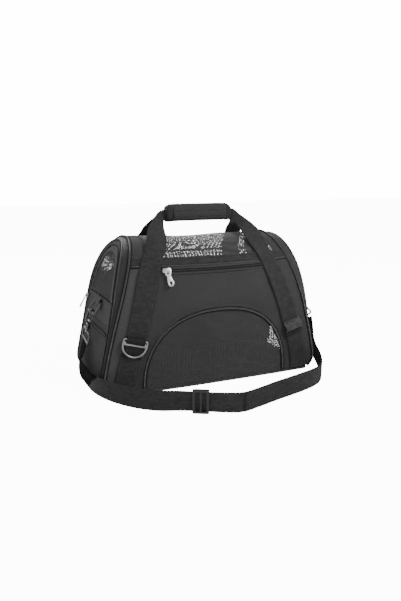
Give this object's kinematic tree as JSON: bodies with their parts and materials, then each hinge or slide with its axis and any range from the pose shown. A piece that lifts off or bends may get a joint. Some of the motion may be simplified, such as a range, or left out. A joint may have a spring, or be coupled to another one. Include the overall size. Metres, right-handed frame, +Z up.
{
  "type": "pet carrier bag",
  "caption": "Arched soft-sided pet carrier with mesh window, mesh top and end doors, webbing handles under a padded grip, and a clip-on shoulder strap.",
  "frame": {"origin": "middle of the underside of the base, on the surface the bag stands on", "axes": "+X along the bag's long side towards the right end as seen from the front, -Y out of the front face with the mesh window, +Z up"},
  "size_m": [0.5049, 0.3826, 0.342],
  "materials": {
    "shell_fabric": "matt woven polyester",
    "mesh": "open net",
    "webbing": "ribbed polypropylene webbing",
    "zip_tape": "knitted tape with nylon coil teeth",
    "piping": "binding over cord",
    "steel": "bright nickel plate",
    "moulding": "fine grain",
    "board": "satin"
  },
  "bodies": {
    "bag": {"base_panel": "shell_fabric", "front_panel": "shell_fabric", "rear_panel": "shell_fabric", "top_left_band": "shell_fabric", "top_right_band": "shell_fabric", "left_gusset": "shell_fabric", "right_gusset": "shell_fabric", "left_end_border": "shell_fabric", "right_end_border": "shell_fabric", "left_belt": "shell_fabric", "right_belt": "shell_fabric", "left_lower_panel": "shell_fabric", "window_mesh": "mesh", "top_mesh": "mesh", "right_lower_mesh": "mesh", "front_handle": "webbing", "rear_handle": "webbing", "grip_wrap": "webbing", "front_ring_tab": "webbing", "front_keeper": "webbing", "left_ring_loop": "webbing", "right_ring_loop": "webbing", "shoulder_strap": "webbing", "front_zip": "zip_tape", "left_pocket_zip": "zip_tape", "base_piping": "piping", "window_piping": "piping", "front_seam_piping": "piping", "rear_seam_piping": "piping", "left_outer_piping": "piping", "right_outer_piping": "piping", "left_inner_piping": "piping", "right_inner_piping": "piping", "left_end_ring": "steel", "right_end_ring": "steel", "left_snap_hook": "steel", "right_snap_hook": "steel", "left_hook_eye": "steel", "right_hook_eye": "steel", "left_frame_wire": "steel", "right_frame_wire": "steel", "base_board": "board"},
    "front_slider": {"front_slider": "steel"},
    "front_pull": {"front_pull": "steel"},
    "left_door": {"left_door_border": "shell_fabric", "left_door_mesh": "mesh"},
    "right_door": {"right_door_border": "shell_fabric", "right_door_mesh": "mesh"},
    "left_door_slider": {"left_door_slider": "steel"},
    "left_door_pull": {"left_door_pull": "steel"},
    "right_door_slider": {"right_door_slider": "steel"},
    "right_door_pull": {"right_door_pull": "steel"},
    "left_pocket_slider": {"left_pocket_slider": "steel"},
    "left_pocket_pull": {"left_pocket_pull": "steel"},
    "front_d_ring": {"front_d_ring": "steel"},
    "left_hook_gate": {"left_hook_gate": "steel"},
    "right_hook_gate": {"right_hook_gate": "steel"},
    "grip_flap": {"grip_flap": "webbing"},
    "strap_adjuster": {"strap_adjuster": "moulding"},
    "pet_mat": {"pet_mat": "shell_fabric"}
  },
  "joints": [
    {"name": "front_slider_run", "type": "hinge", "parent": "bag", "child": "front_slider", "pos_m": [0, 0.41737, 0.2275], "axis": [0, 0, 1], "range_deg": [0, 20]},
    {"name": "front_pull_swing", "type": "hinge", "parent": "front_slider", "child": "front_pull", "pos_m": [-0.10145, -0.10788, 0.22973], "axis": [-0.9765, 0.1012, -0.1901], "range_deg": [0, 150]},
    {"name": "left_door_fold", "type": "hinge", "parent": "bag", "child": "left_door", "pos_m": [-0.19838, 0, 0.1715], "axis": [0, -1, 0], "range_deg": [0, 105]},
    {"name": "right_door_fold", "type": "hinge", "parent": "bag", "child": "right_door", "pos_m": [0.20322, 0, 0.1715], "axis": [0, 1, 0], "range_deg": [0, 105]},
    {"name": "left_door_slider_run", "type": "slide", "parent": "bag", "child": "left_door_slider", "axis": [0.2102, -0.1108, 0.9714], "range_m": [0, 0.03]},
    {"name": "left_door_pull_swing", "type": "hinge", "parent": "left_door_slider", "child": "left_door_pull", "pos_m": [-0.2068, 0.08444, 0.15811], "axis": [0, 1, 0], "range_deg": [0, 130]},
    {"name": "right_door_slider_run", "type": "slide", "parent": "bag", "child": "right_door_slider", "axis": [-0.1779, -0.1115, 0.9777], "range_m": [0, 0.03]},
    {"name": "right_door_pull_swing", "type": "hinge", "parent": "right_door_slider", "child": "right_door_pull", "pos_m": [0.2112, 0.08444, 0.15794], "axis": [0, -1, 0], "range_deg": [0, 150]},
    {"name": "left_pocket_slider_run", "type": "slide", "parent": "bag", "child": "left_pocket_slider", "axis": [0, 1, 0], "range_m": [0, 0.026]},
    {"name": "left_pocket_pull_swing", "type": "hinge", "parent": "left_pocket_slider", "child": "left_pocket_pull", "pos_m": [-0.21607, 0.042, 0.11314], "axis": [0, 1, 0], "range_deg": [0, 150]},
    {"name": "front_d_ring_swing", "type": "hinge", "parent": "bag", "child": "front_d_ring", "pos_m": [-0.16587, -0.11566, 0.10696], "axis": [-0.96, 0.1069, 0.2588], "range_deg": [0, 150]},
    {"name": "left_hook_gate_hinge", "type": "hinge", "parent": "bag", "child": "left_hook_gate", "pos_m": [-0.21756, 0.00522, 0.11905], "axis": [0, -0.9715, -0.2372], "range_deg": [0, 25], "stiffness_Nm_per_rad": 0.02, "springref_deg": -11.46},
    {"name": "right_hook_gate_hinge", "type": "hinge", "parent": "bag", "child": "right_hook_gate", "pos_m": [0.22763, -0.0117, 0.12159], "axis": [0, 0.8291, -0.5591], "range_deg": [0, 25], "stiffness_Nm_per_rad": 0.02, "springref_deg": -11.46},
    {"name": "grip_flap_fold", "type": "hinge", "parent": "bag", "child": "grip_flap", "pos_m": [0.006, -0.0132, 0.338], "axis": [-1, 0, 0], "range_deg": [0, 110]},
    {"name": "strap_adjuster_slide", "type": "slide", "parent": "bag", "child": "strap_adjuster", "axis": [0.8633, -0.5047, 0], "range_m": [-0.012, 0.012]},
    {"name": "pet_mat_lift", "type": "slide", "parent": "bag", "child": "pet_mat", "axis": [0, 0, 1], "range_m": [0, 0.06]}
  ]
}
